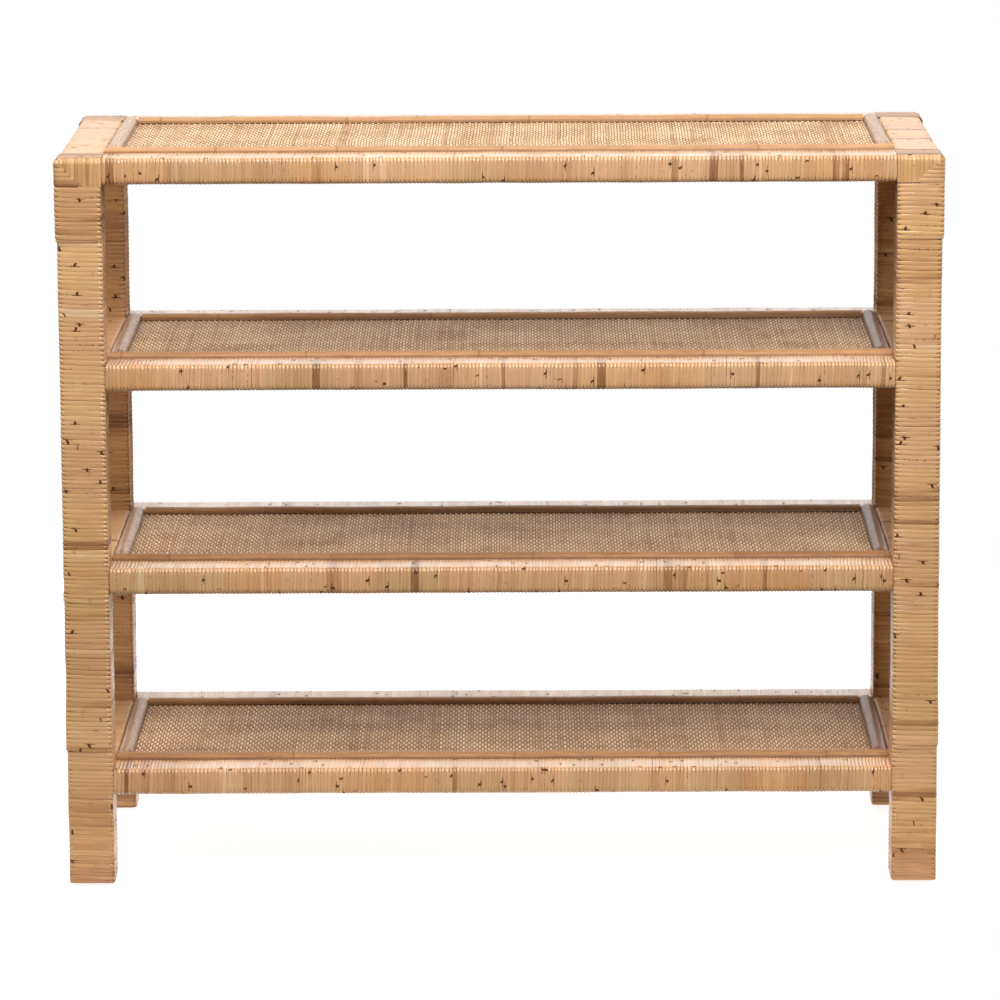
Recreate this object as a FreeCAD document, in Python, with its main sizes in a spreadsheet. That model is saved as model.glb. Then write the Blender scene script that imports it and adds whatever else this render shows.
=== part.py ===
import FreeCAD, Part
import os
import re
import Sketcher

# Open four-tier shoe rack: four square timber posts and sixteen timber rails, each one bound round with
# rattan peel. Every tier holds a boarded, cane-covered shelf framed by split-pole trims.
# Millimetres, +Z up, the front looks along -Y. The origin is on the floor, below the middle of the rack.

SIZES = {
    "body_width": (996, "width over the plainly wrapped posts"),
    "body_depth": (396, "depth over the plainly wrapped posts"),
    "rail_top": (844, "height of the top tier's rails above the floor"),
    "tier_pitch": (235, "height from one tier to the next"),
    "post_side": (52, "side of a wrapped post"),
    "rail_breadth": (51, "breadth of a wrapped rail, measured level"),
    "rail_height": (31, "height of a wrapped rail"),
    "wrap": (2.5, "thickness of the rattan binding"),
    "wrap_corner": (5, "corner radius of a wrapped member"),
    "core_corner": (3, "corner radius of a timber core"),
    "collar_height": (95, "height of the second layer of binding at the head of a post"),
    "collar_build": (2, "how far that layer stands out on the two outer faces"),
    "board_thickness": (9, "plywood shelf board"),
    "board_drop": (3.5, "top of the board below the top of its rails"),
    "board_play": (0.5, "gap between the board and the bound rails"),
    "mat_thickness": (1.5, "woven cane mat"),
    "cleat_side": (15, "square strip under the board"),
    "cleat_length": (860, "length of that strip"),
    "trim_width": (20, "split-pole trim along the front and back of a shelf"),
    "trim_height": (7, "height of that trim above the mat"),
    "rod_width": (18, "split-pole rod across each end of a shelf"),
    "rod_height": (8, "height of that rod above the mat"),
    "glide_radius": (8, "nail-on glide"),
    "glide_tip": (4, "radius of the flat that meets the floor"),
    "glide_height": (4.5, "height of the glide under the foot"),
    "glide_rim": (1.5, "height of its straight rim"),
    "nail_radius": (1.2, "nail of the glide"),
    "nail_length": (16, "length of that nail inside the post"),
    "dowel_radius": (3, "rail joint dowel"),
    "dowel_length": (28, "half of it in the post, half in the rail"),
    "dowel_spread": (11, "dowel axis to the middle of the rail, measured level"),
    "dowel_lift": (6, "dowel axis above or below the middle of the rail"),
    "brad_radius": (0.6, "brad through a trim"),
    "brad_length": (13, "length of a brad"),
    "trim_brad_pitch": (150, "spacing of the brads along a trim"),
    "rod_brad_pitch": (105, "spacing of the brads along a rod"),
    "bore_play": (0.1, "radial gap round every dowel, nail and brad"),
}
TIERS = ("top", "upper", "middle", "lower")
SIDES_X = {"left": -1, "right": 1}
SIDES_Y = {"front": -1, "back": 1}
TRIM_BRADS = 6
ROD_BRADS = 3
DRAWN_CHORD = 18
DRAWN_RISE = 7

ALIASES = re.compile(r"\b(" + "|".join(SIZES) + r")\b")

# Places that several sub-parts share, as formulas on the sheet.
POST_X = "(body_width - post_side) / 2"
POST_Y = "(body_depth - post_side) / 2"
INNER_X = "(body_width / 2 - post_side)"
INNER_Y = "(body_depth / 2 - post_side)"
CORE_SIDE = "post_side - 2 * wrap"
CORE_HEIGHT = "rail_top - wrap - glide_height"
COLLAR_SIDE = "post_side + collar_build"

doc = FreeCAD.newDocument("shoe_rack")
nodes = {}


def make_sheet():
    sheet = doc.addObject("Spreadsheet::Sheet", "Sizes")
    for row, (alias, (value, note)) in enumerate(SIZES.items(), start=1):
        sheet.set(f"A{row}", alias)
        sheet.set(f"B{row}", str(value))
        sheet.set(f"C{row}", note)
        sheet.setAlias(f"B{row}", alias)
    doc.recompute()


def bind(item, formulas):
    """Bind properties to formulas whose words are the sheet's aliases."""
    for path, formula in formulas.items():
        item.setExpression(path, ALIASES.sub(r"Sizes.\1", formula))
    return item


def place(item, x, y, z):
    return bind(item, {"Placement.Base.x": x, "Placement.Base.y": y, "Placement.Base.z": z})


def node(name, item):
    """Name a finished sub-part, which is then written to a file of its own."""
    item.Label = name
    nodes[name] = item
    return item


def group(name, items):
    compound = doc.addObject("Part::Compound", name)
    compound.Links = items
    return compound


def cut(name, base, tool):
    item = doc.addObject("Part::Cut", name)
    item.Base = base
    item.Tool = tool
    return item


def edges_along(axis):
    """Names of the four edges of a box that run along one axis."""
    edges = Part.makeBox(1, 1, 1).Edges
    return [f"Edge{i}" for i, edge in enumerate(edges, start=1) if abs(edge.tangentAt(0).dot(axis)) > 0.99]


def block(name, middle, size, corner=None, axis=None):
    """A block centred on a point in plan and standing on a height, its long edges rounded if asked."""
    lengths = dict(zip(("Length", "Width", "Height"), size))
    if corner is None:
        solid = bind(doc.addObject("Part::Box", name), lengths)
    else:
        solid = doc.addObject("PartDesign::Body", name)
        blank = bind(solid.newObject("PartDesign::AdditiveBox", f"{name}_blank"), lengths)
        rounding = bind(solid.newObject("PartDesign::Fillet", f"{name}_rounding"), {"Radius": corner})
        rounding.Base = (blank, edges_along(axis))
        solid.Tip = rounding
    x, y, z = middle
    return place(solid, f"{x} - ({size[0]}) / 2", f"{y} - ({size[1]}) / 2", z)


def pin(name, start, radius, length, axis=(0, 0, 1)):
    solid = bind(doc.addObject("Part::Cylinder", name), {"Radius": radius, "Height": length})
    solid.Placement.Rotation = FreeCAD.Rotation(FreeCAD.Vector(0, 0, 1), FreeCAD.Vector(*axis))
    return place(solid, *start)


def half_round(name, start, width, height, length, turn=0):
    """A split pole lying flat side down from its start: a circular segment padded along +X, then turned.
    The segment is first drawn near its size, and its chord and radius are then driven by the sheet."""
    body = doc.addObject("PartDesign::Body", name)
    plane = next(feature for feature in body.Origin.OriginFeatures if feature.Role == "YZ_Plane")
    sketch = body.newObject("Sketcher::SketchObject", f"{name}_section")
    sketch.AttachmentSupport = (plane, "")
    sketch.MapMode = "FlatFace"
    right, left = FreeCAD.Vector(DRAWN_CHORD / 2, 0, 0), FreeCAD.Vector(-DRAWN_CHORD / 2, 0, 0)
    crown = FreeCAD.Vector(0, DRAWN_RISE, 0)
    sketch.addGeometry(Part.Arc(right, crown, left))
    sketch.addGeometry(Part.LineSegment(left, right))
    sketch.addConstraint(Sketcher.Constraint("Coincident", 0, 2, 1, 1))
    sketch.addConstraint(Sketcher.Constraint("Coincident", 0, 1, 1, 2))
    sketch.addConstraint(Sketcher.Constraint("Symmetric", 1, 1, 1, 2, -1, 1))
    sketch.addConstraint(Sketcher.Constraint("Horizontal", 1))
    chord = sketch.addConstraint(Sketcher.Constraint("Distance", 1, DRAWN_CHORD))
    drawn_radius = (DRAWN_CHORD ** 2 / 4 + DRAWN_RISE ** 2) / (2 * DRAWN_RISE)
    round_top = sketch.addConstraint(Sketcher.Constraint("Radius", 0, drawn_radius))
    segment_radius = f"(({width}) ^ 2 / 4 + ({height}) ^ 2) / (2 * ({height}))"
    bind(sketch, {f"Constraints[{chord}]": width, f"Constraints[{round_top}]": segment_radius})
    pad = bind(body.newObject("PartDesign::Pad", f"{name}_pad"), {"Length": length})
    pad.Profile = sketch
    body.Tip = pad
    body.Placement.Rotation = FreeCAD.Rotation(FreeCAD.Vector(0, 0, 1), turn)
    return place(body, *start)


def tier_height(index, offset="0"):
    """Height of the top of one tier's rails, plus an offset."""
    return f"rail_top - {index} * tier_pitch + ({offset})"


def make_dowels():
    """Two dowels in every rail end: upper row in the long rails, lower row in the end rails."""
    dowels, bores = [], []
    for index, tier in enumerate(TIERS):
        for side_x, sx in SIDES_X.items():
            for side_y, sy in SIDES_Y.items():
                for row in (-1, 1):
                    joint_x = f"{sx} * ({INNER_X} + wrap)"
                    joint_y = f"{sy} * ({INNER_Y} + wrap)"
                    rail_x = f"{sx} * ({INNER_X} + rail_breadth / 2) + {row} * dowel_spread"
                    rail_y = f"{sy} * ({INNER_Y} + rail_breadth / 2) + {row} * dowel_spread"
                    along_x = (f"{joint_x} - dowel_length / 2", rail_y,
                               tier_height(index, "dowel_lift - rail_height / 2"))
                    along_y = (rail_x, f"{joint_y} - dowel_length / 2",
                               tier_height(index, "0 - dowel_lift - rail_height / 2"))
                    name = f"{tier}_{side_x}_{side_y}_{'inner' if row < 0 else 'outer'}"
                    for kind, start, axis in (("x", along_x, (1, 0, 0)), ("y", along_y, (0, 1, 0))):
                        dowels.append(pin(f"dowel_{kind}_{name}", start,
                                          "dowel_radius", "dowel_length", axis))
                        bores.append(pin(f"dowel_bore_{kind}_{name}", start,
                                         "dowel_radius + bore_play", "dowel_length", axis))
    node("rail_dowels", group("dowel_group", dowels))
    return group("dowel_bores", bores)


def make_glides():
    """A domed glide under each post, driven in by its own nail."""
    glides, bores = [], []
    for side_x, sx in SIDES_X.items():
        for side_y, sy in SIDES_Y.items():
            name = f"{side_y}_{side_x}"
            x, y = f"{sx} * {POST_X}", f"{sy} * {POST_Y}"
            dome_height = "glide_height - glide_rim"
            rim = pin(f"glide_rim_{name}", (x, y, dome_height), "glide_radius", "glide_rim")
            dome = bind(doc.addObject("Part::Cone", f"glide_dome_{name}"),
                        {"Radius1": "glide_tip", "Radius2": "glide_radius", "Height": dome_height})
            place(dome, x, y, "0")
            nail = pin(f"glide_nail_{name}", (x, y, dome_height), "nail_radius", "nail_length + glide_rim")
            glide = doc.addObject("Part::MultiFuse", f"glide_{name}")
            glide.Shapes = [rim, dome, nail]
            glides.append(glide)
            bores.append(pin(f"nail_bore_{name}", (x, y, "glide_height"),
                             "nail_radius + bore_play", "nail_length"))
    node("foot_glides", group("glide_group", glides))
    return group("nail_bores", bores)


def make_rails(dowel_bores):
    """Timber rails between the posts, each in its own binding. Gives back the rail blanks."""
    blanks = []
    core_breadth, core_height = "rail_breadth - 2 * wrap", "rail_height - 2 * wrap"
    x_axis, y_axis = FreeCAD.Vector(1, 0, 0), FreeCAD.Vector(0, 1, 0)
    for index, tier in enumerate(TIERS):
        runs = [(side, ("0", f"{sy} * ({INNER_Y} + rail_breadth / 2)"), x_axis)
                for side, sy in SIDES_Y.items()]
        runs += [(side, (f"{sx} * ({INNER_X} + rail_breadth / 2)", "0"), y_axis)
                 for side, sx in SIDES_X.items()]
        for side, (x, y), axis in runs:
            name = f"{tier}_{side}"
            lengthways = axis is x_axis
            clear = f"2 * {INNER_X}" if lengthways else f"2 * {INNER_Y}"

            def section(length, breadth, height):
                return (length, breadth, height) if lengthways else (breadth, length, height)

            core_size = section(f"{clear} + 2 * wrap", core_breadth, core_height)
            core_middle = (x, y, tier_height(index, "wrap - rail_height"))
            wrap_middle = (x, y, tier_height(index, "0 - rail_height"))
            core = block(f"core_{name}", core_middle, core_size, "core_corner", axis)
            blank = block(f"blank_{name}", core_middle, core_size)
            wrap = block(f"wrap_{name}", wrap_middle, section(clear, "rail_breadth", "rail_height"),
                         "wrap_corner", axis)
            node(f"rail_core_{name}", cut(f"bored_core_{name}", core, dowel_bores))
            node(f"rail_wrap_{name}", cut(f"tube_{name}", wrap, blank))
            blanks.append(blank)
    return group("rail_blanks", blanks)


def make_posts(dowel_bores, nail_bores, rail_blanks):
    """Timber posts in their binding, which has a second layer at the head and a window for every rail."""
    upright = FreeCAD.Vector(0, 0, 1)
    post_bores = group("post_bores", [dowel_bores, nail_bores])
    for side_x, sx in SIDES_X.items():
        for side_y, sy in SIDES_Y.items():
            name = f"{side_y}_{side_x}"
            x, y = f"{sx} * {POST_X}", f"{sy} * {POST_Y}"
            core_size = (CORE_SIDE, CORE_SIDE, CORE_HEIGHT)
            core = block(f"core_{name}", (x, y, "glide_height"), core_size, "core_corner", upright)
            hollow = block(f"hollow_{name}", (x, y, "glide_height"), core_size)
            shaft = block(f"shaft_{name}", (x, y, "glide_height"),
                          ("post_side", "post_side", "rail_top - glide_height"), "wrap_corner", upright)
            collar_middle = (f"{x} + {sx} * collar_build / 2", f"{y} + {sy} * collar_build / 2",
                             "rail_top - collar_height")
            collar = block(f"collar_{name}", collar_middle, (COLLAR_SIDE, COLLAR_SIDE, "collar_height"),
                           "wrap_corner", upright)
            skin = doc.addObject("Part::Fuse", f"skin_{name}")
            skin.Base = shaft
            skin.Tool = collar
            tube = cut(f"tube_{name}", skin, hollow)
            node(f"post_core_{name}", cut(f"bored_core_{name}", core, post_bores))
            node(f"post_wrap_{name}", cut(f"windowed_tube_{name}", tube, rail_blanks))


def brad_line(name, index, count, pitch, start, step, height):
    """A row of upright brads and their bores, centred on a start and stepping along X or Y."""
    brads, bores = [], []
    foot = tier_height(index, f"mat_thickness - board_drop + {height} - brad_length")
    for i in range(count):
        shift = i - (count - 1) / 2
        x = f"{start[0]} + {shift * step[0]} * {pitch}"
        y = f"{start[1]} + {shift * step[1]} * {pitch}"
        brads.append(pin(f"brad_{name}_{i}", (x, y, foot), "brad_radius", "brad_length"))
        bores.append(pin(f"brad_bore_{name}_{i}", (x, y, foot), "brad_radius + bore_play", "brad_length"))
    return brads, bores


def make_shelves():
    """Cleats, board, cane mat and split-pole trims of every tier, with the brads that hold the trims."""
    all_brads, all_cleats = [], []
    clear_x, clear_y = f"2 * {INNER_X}", f"2 * {INNER_Y}"
    rod_middle_y = "trim_width / 2"
    for index, tier in enumerate(TIERS):
        mat_top = tier_height(index, "mat_thickness - board_drop")
        trim_y = f"({INNER_Y} - trim_width / 2)"
        rod_x = f"({INNER_X} - rod_width / 2)"

        front = half_round(f"front_trim_{tier}", (f"0 - {INNER_X}", f"0 - {trim_y}", mat_top),
                           "trim_width", "trim_height", clear_x)
        back = half_round(f"back_trim_{tier}", (f"rod_width - {INNER_X}", trim_y, mat_top),
                          "trim_width", "trim_height", f"{clear_x} - 2 * rod_width")
        rods = [half_round(f"rod_{side}_{tier}", (f"{sx} * {rod_x}", f"trim_width - {INNER_Y}", mat_top),
                           "rod_width", "rod_height", f"{clear_y} - trim_width", 90)
                for side, sx in SIDES_X.items()]

        brads, bores = [], []
        rows = [(f"{side}_{tier}", TRIM_BRADS, "trim_brad_pitch",
                 ("0", f"{sy} * {trim_y}"), (1, 0), "trim_height")
                for side, sy in SIDES_Y.items()]
        rows += [(f"{side}_{tier}", ROD_BRADS, "rod_brad_pitch",
                  (f"{sx} * {rod_x}", rod_middle_y), (0, 1), "rod_height")
                 for side, sx in SIDES_X.items()]
        for name, count, pitch, start, step, height in rows:
            line, line_bores = brad_line(name, index, count, pitch, start, step, height)
            brads += line
            bores += line_bores
        all_brads += brads
        brad_bores = group(f"brad_bores_{tier}", bores)

        board_plan = (f"{clear_x} - 2 * board_play", f"{clear_y} - 2 * board_play")
        board = block(f"board_{tier}", ("0", "0", tier_height(index, "0 - board_drop - board_thickness")),
                      (*board_plan, "board_thickness"))
        mat = block(f"mat_{tier}", ("0", "0", tier_height(index, "0 - board_drop")),
                    (*board_plan, "mat_thickness"))
        trims = group(f"trims_{tier}", [front, back])
        node(f"shelf_board_{tier}", cut(f"bored_board_{tier}", board, brad_bores))
        node(f"cane_mat_{tier}", cut(f"bored_mat_{tier}", mat, brad_bores))
        node(f"long_trims_{tier}", cut(f"bored_trims_{tier}", trims, brad_bores))
        node(f"end_rods_{tier}", cut(f"bored_rods_{tier}", group(f"rods_{tier}", rods), brad_bores))

        cleat_foot = tier_height(index, "0 - board_drop - board_thickness - cleat_side")
        cleat_size = ("cleat_length", "cleat_side", "cleat_side")
        for side, sy in SIDES_Y.items():
            cleat_middle = ("0", f"{sy} * ({INNER_Y} - cleat_side / 2)", cleat_foot)
            all_cleats.append(block(f"cleat_{side}_{tier}", cleat_middle, cleat_size))
    node("trim_brads", group("brad_group", all_brads))
    node("shelf_cleats", group("cleat_group", all_cleats))


def check_model():
    """Stop if any object failed or any sub-part is empty, invalid or not made of solids."""
    failed = [item.Name for item in doc.Objects if {"Invalid", "Error"} & set(item.State)]
    assert not failed, f"objects that failed: {failed}"
    for name, item in nodes.items():
        shape = item.Shape
        assert not shape.isNull() and shape.isValid() and shape.Solids, f"{name} has no valid solid"


def write_parts():
    os.makedirs("parts", exist_ok=True)
    for name, item in nodes.items():
        item.Shape.exportStep(f"parts/{name}.step")
        print(f"{name}: {len(item.Shape.Solids)} solid(s), {item.Shape.Volume / 1000:.2f} cm3")


make_sheet()
dowel_bores = make_dowels()
nail_bores = make_glides()
rail_blanks = make_rails(dowel_bores)
make_posts(dowel_bores, nail_bores, rail_blanks)
make_shelves()
doc.recompute()
check_model()
write_parts()
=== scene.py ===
import zlib
from math import asin, cos, pi, radians, sin, sqrt

import bpy
import numpy as np
from mathutils import Matrix, Vector


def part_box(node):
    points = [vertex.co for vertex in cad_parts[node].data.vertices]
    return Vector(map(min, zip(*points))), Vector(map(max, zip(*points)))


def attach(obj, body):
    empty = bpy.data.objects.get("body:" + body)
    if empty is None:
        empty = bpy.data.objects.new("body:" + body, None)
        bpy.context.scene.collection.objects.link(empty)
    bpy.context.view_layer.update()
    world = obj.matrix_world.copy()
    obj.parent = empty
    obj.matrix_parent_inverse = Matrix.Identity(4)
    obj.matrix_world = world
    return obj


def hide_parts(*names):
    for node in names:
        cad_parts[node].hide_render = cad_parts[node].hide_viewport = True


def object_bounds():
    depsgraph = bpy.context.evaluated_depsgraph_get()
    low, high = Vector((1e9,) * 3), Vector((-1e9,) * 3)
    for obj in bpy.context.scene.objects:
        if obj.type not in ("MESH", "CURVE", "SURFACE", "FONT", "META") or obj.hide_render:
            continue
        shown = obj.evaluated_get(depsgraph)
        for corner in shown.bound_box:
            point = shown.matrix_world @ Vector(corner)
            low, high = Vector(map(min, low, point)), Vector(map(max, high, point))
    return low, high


# Looks of an open four-tier shoe rack bound in rattan peel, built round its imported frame.
# Metres, +Z up, the front looks along -Y. Every strip and pole is a closed solid, and so is each mat.

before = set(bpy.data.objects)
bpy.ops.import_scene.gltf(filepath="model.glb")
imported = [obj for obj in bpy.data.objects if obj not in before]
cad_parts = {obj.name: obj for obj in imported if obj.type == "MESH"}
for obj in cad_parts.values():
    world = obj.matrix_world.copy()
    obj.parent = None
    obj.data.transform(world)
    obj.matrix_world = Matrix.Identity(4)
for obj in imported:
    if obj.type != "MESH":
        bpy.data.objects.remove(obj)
cad_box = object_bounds()

TIERS = ("top", "upper", "middle", "lower")
SIDES_X = {"left": -1, "right": 1}
SIDES_Y = {"front": -1, "back": 1}

# Binding strips: their widths, the radii they bend round, and the five points of a strip's section.
RAIL_PITCH = 0.0041
POST_PITCH = 0.0053
CORNER_PITCH = 0.0044
BEND_RADIUS = 0.005
POST_BEND = 0.0036
TIGHT_RADIUS = 0.0008
LACE_RADIUS = 0.0065
STRIP_ACROSS = np.array((-1.0, -0.55, 0.55, 1.0, 0.0))
STRIP_DEPTH = np.array((0.0, 0.00004, 0.00004, 0.0, 0.0015))
STRIP_DOME = np.array((1.0, 0.0, 0.0, 1.0, 0.0))
STRIP_LEAST = 0.0003

# How much lower a strip's edges are than its crown: on faces across u, on faces across v, on bends.
RAIL_DOME = (0.00013, 0.00032, 0.00070)
SIDE_DOME = (0.00013, 0.00050, 0.00070)
POST_DOME = (0.00045, 0.00015, 0.00095)
CORNER_DOME = 0.00032

# How much a strip narrows at a bend, and the share of turns with a gap beside them.
RAIL_PINCH, RAIL_LOOSE = 0.00018, 0.05
POST_PINCH, POST_LOOSE = 0.00024, 0.08

# How far a binding lies under the surface of its CAD tube, swells and shrinks, and sways along.
SINK = 0.00016
RELIEF = 0.0003
SWAY = 0.0009

# Each strip starts at a random place along a stem this long.
STEM = 40

# The second layer of binding at the head of each post, and the lacing of the top's corners: how much of
# the post's width the steps leave free, and how far the front's strips run back over the top.
COLLAR_HEIGHT = 0.095
COLLAR_BUILD = 0.002
STEP_FULL = 0.019
TAIL = 0.010

# The posts' plain layer: how far it splays at the foot, thickens over the lowest shelf and at a knuckle.
SPLAY = 0.0007
FLARE = {"left": 0.0017, "right": 0.0019}
KNUCKLE = 0.0009

# Darker stretches of the posts, as (height, spread, how much darker): painted shade at every foot, a band
# of darker strips low on the front right post, and painted shade over the whole of the back posts. The
# corners' strips that cross the top are darker too, as painted shade against the light on the top.
FOOT_PAINTED_SHADE = (0.0, 0.085, 0.46)
BAND_STAIN = (0.190, 0.006, 0.42)
BACK_PAINTED_SHADE = (0.4, 1.5, 0.26)
CORNER_PAINTED_SHADE = 0.26

# Split poles: the end rods' width, the back trim's width beside the front one's, and how far it waves.
ROD_WIDTH = 0.018
BACK_TRIM = 0.86
BACK_WAVE = 0.0019

# The weave: strands along Y pass over three along X, then under three. The short floats lie lower, the long
# ones fall off at their ends, and the mat runs in under the poles.
WEAVE_PITCH = 0.00325
WEAVE_GROUP = 3
WEAVE_DEPTH = 0.00128
SHORT_SINK = 0.00092
FLOAT_ARCH = 0.00075
MAT_TUCK = 0.003

# How much darker the poles are made: the long trims of the lower two tiers, partly their own darker colour
# and partly painted shade, and the right-hand rods of the lower three tiers, painted shade.
TRIM_TONE_AND_SHADE = {"top": 0.0, "upper": 0.0, "middle": 0.42, "lower": 0.18}
ROD_PAINTED_SHADE = {"top": 0.0, "upper": 0.7, "middle": 0.8, "lower": 0.9}

# Soft lights: azimuth from the front towards the right and elevation in degrees, distance, size, level.
LAMPS = (("key", 14, 39, 2.9, 1.2, 0.74), ("front", 6, 12, 6.0, 0.6, 0.12),
         ("overhead", -8, 72, 4.6, 1.6, 0.40), ("left", -65, 38, 4.2, 1.6, 0.34),
         ("right", 100, 3, 4.0, 1.2, 0.16))

# The bright wall behind the rack: the axis of a direction and where along it the light begins and is full.
WALL_FADES = ((1, -0.05, 0.35), (2, -0.08, 0.10))
WALL_LEVEL = 1.25
FLOOR_GLOW = 0.84
FLOOR_FRONT = -0.30


def generator(name):
    return np.random.default_rng(zlib.crc32(name.encode()))


def fade(t):
    """Smooth step from 0 to 1."""
    t = np.clip(t, 0, 1)
    return t * t * (3 - 2 * t)


def wander(rng, low, high, step):
    """A smooth random curve between -1 and 1 over a range, as a function."""
    knots = rng.uniform(-1, 1, int((high - low) / step) + 6)
    first = low - 2 * step

    def at(s):
        t = np.clip((np.asarray(s, float) - first) / step, 0, len(knots) - 1.001)
        i = t.astype(int)
        return knots[i] + (knots[i + 1] - knots[i]) * fade(t - i)

    return at


# ---- meshes

def faces_of(*corners):
    """Faces from one array of point numbers for each corner."""
    return np.stack(corners, -1)


def loop_of(n):
    """The numbers of n points in a loop, and of the point after each."""
    return np.arange(n), (np.arange(n) + 1) % n


def make_piece(name, points, faces, paint, replaced=(), attributes=(), creases=None):
    """A closed mesh from arrays. faces holds (corner indices, smooth or not) for each kind of face.
    creases picks, from the ends of each edge, the edges that are sharp between smooth faces."""
    mesh = bpy.data.meshes.new(name)
    mesh.vertices.add(len(points))
    mesh.vertices.foreach_set("co", np.asarray(points, np.float32).ravel())
    corners = np.concatenate([f.ravel() for f, _ in faces]).astype(np.int32)
    sizes = np.concatenate([np.full(len(f), f.shape[1], np.int32) for f, _ in faces])
    mesh.loops.add(len(corners))
    mesh.loops.foreach_set("vertex_index", corners)
    mesh.polygons.add(len(sizes))
    mesh.polygons.foreach_set("loop_start", np.cumsum(sizes).astype(np.int32) - sizes)
    mesh.update(calc_edges=True)
    flat = np.concatenate([np.full(len(f), not smooth) for f, smooth in faces])
    mesh.attributes.new("sharp_face", "BOOLEAN", "FACE").data.foreach_set("value", flat)
    for key, values in attributes:
        kind = "FLOAT_VECTOR" if np.ndim(values) == 2 else "FLOAT"
        field = "vector" if kind == "FLOAT_VECTOR" else "value"
        target = mesh.attributes.new(key, kind, "POINT").data
        target.foreach_set(field, np.asarray(values, np.float32).ravel())
    sides = np.empty(len(corners), np.int32)
    mesh.loops.foreach_get("edge_index", sides)
    sharp = np.zeros(len(mesh.edges), bool)
    sharp[sides[np.repeat(flat, sizes)]] = True
    if creases is not None:
        ends = np.empty(len(mesh.edges) * 2, np.int32)
        mesh.edges.foreach_get("vertices", ends)
        sharp |= creases(ends.reshape(-1, 2))
    mesh.attributes.new("sharp_edge", "BOOLEAN", "EDGE").data.foreach_set("value", sharp)
    mesh.materials.append(paint)
    piece = bpy.data.objects.new(name, mesh)
    bpy.context.scene.collection.objects.link(piece)
    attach(piece, "root")
    if replaced:
        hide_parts(*replaced)
    return piece


class Strips:
    """Rattan strips gathered into one mesh. Each is a run of five-point sections, closed at both ends.
    A section's first four points are the domed face and the fifth is the underside."""

    def __init__(self):
        self.points, self.marks, self.top, self.under, self.ends = [], [], [], [], []
        self.count = 0

    def add(self, sections, along, tone):
        """sections is (n, 5, 3); along is the length run so far and tone the shade, both (n,)."""
        n = len(sections)
        across = STRIP_ACROSS
        middle = n // 2
        width = sections[middle, 3] - sections[middle, 0]
        run = sections[min(middle + 1, n - 1)].mean(0) - sections[middle - 1].mean(0)
        out = sections[middle, 1] + sections[middle, 2] - 2 * sections[middle, 4]
        if np.dot(np.cross(width, run), out) < 0:
            sections = sections[:, [3, 2, 1, 0, 4]]
            across = across[[3, 2, 1, 0, 4]]
        marks = np.empty((n, 5, 3))
        marks[:, :, 0] = np.asarray(along)[:, None]
        marks[:, :, 1] = across
        marks[:, :, 2] = np.asarray(tone)[:, None]
        base = self.count + 5 * np.arange(n - 1)
        for k in range(5):
            j = (k + 1) % 5
            quads = faces_of(base + k, base + j, base + 5 + j, base + 5 + k)
            (self.top if k < 3 else self.under).append(quads)
        last = self.count + 5 * (n - 1)
        self.ends.append(self.count + np.arange(5)[::-1])
        self.ends.append(last + np.arange(5))
        self.points.append(sections.reshape(-1, 3))
        self.marks.append(marks.reshape(-1, 3))
        self.count += 5 * n

    def lay(self, rng, path, outward, across, width, tone, lift):
        """A short strip along a path of points, with its outward and across directions at each point."""
        path, outward = np.asarray(path, float), np.asarray(outward, float)
        across = np.broadcast_to(np.asarray(across, float), path.shape)
        side = across[:, None, :] * STRIP_ACROSS[None, :, None] * width / 2
        rise = outward[:, None, :] * (lift - STRIP_DEPTH - CORNER_DOME * STRIP_DOME)[None, :, None]
        run = np.concatenate([[0], np.cumsum(np.linalg.norm(np.diff(path, axis=0), axis=1))])
        self.add(path[:, None, :] + side + rise, rng.uniform(0, STEM) + run, np.full(len(path), tone))

    def finish(self, name, paint, node):
        faces = [(np.concatenate(self.top), True), (np.concatenate(self.under), False),
                 (np.array(self.ends), False)]
        points = np.concatenate(self.points)
        points = np.clip(points, np.array(cad_box[0]), np.array(cad_box[1]))
        return make_piece(name, points, faces, paint, [node],
                          [("strip", np.concatenate(self.marks))])


def outline(half_u, half_v, radius):
    """A rounded rectangle once round, clockwise from the middle of its -u side.
    Gives the points, normals, share of the way round, length, and how bent it is from 0 to 1."""
    corners = ((-1, 1), (1, 1), (1, -1), (-1, -1))
    middles = ((-1, 0), (0, 1), (1, 0), (0, -1))
    lead = 0.003
    spots, normals, curl = [], [], []
    for (mu, mv), (cu, cv), (nu, nv) in zip(middles, corners, middles[1:] + middles[:1]):
        first, last = np.array((mu, mv)), np.array((nu, nv))
        centre = np.array((cu * (half_u - radius), cv * (half_v - radius)))
        spots += [first * (half_u, half_v), centre + radius * first - lead * last]
        normals += [first, first]
        curl += [0, 0]
        for turn in np.linspace(0, pi / 2, 5):
            normal = first * cos(turn) + last * sin(turn)
            spots.append(centre + radius * normal)
            normals.append(normal)
            curl.append(0.6 + 0.4 * sin(2 * turn))
        spots.append(centre + radius * last - lead * first)
        normals.append(last)
        curl.append(0)
    spots, normals = np.array(spots), np.array(normals, float)
    gaps = np.linalg.norm(np.diff(np.vstack([spots, spots[:1]]), axis=0), axis=1)
    share = np.concatenate([[0], np.cumsum(gaps)[:-1]]) / gaps.sum()
    return spots, normals, share, gaps.sum(), np.array(curl)


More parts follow.
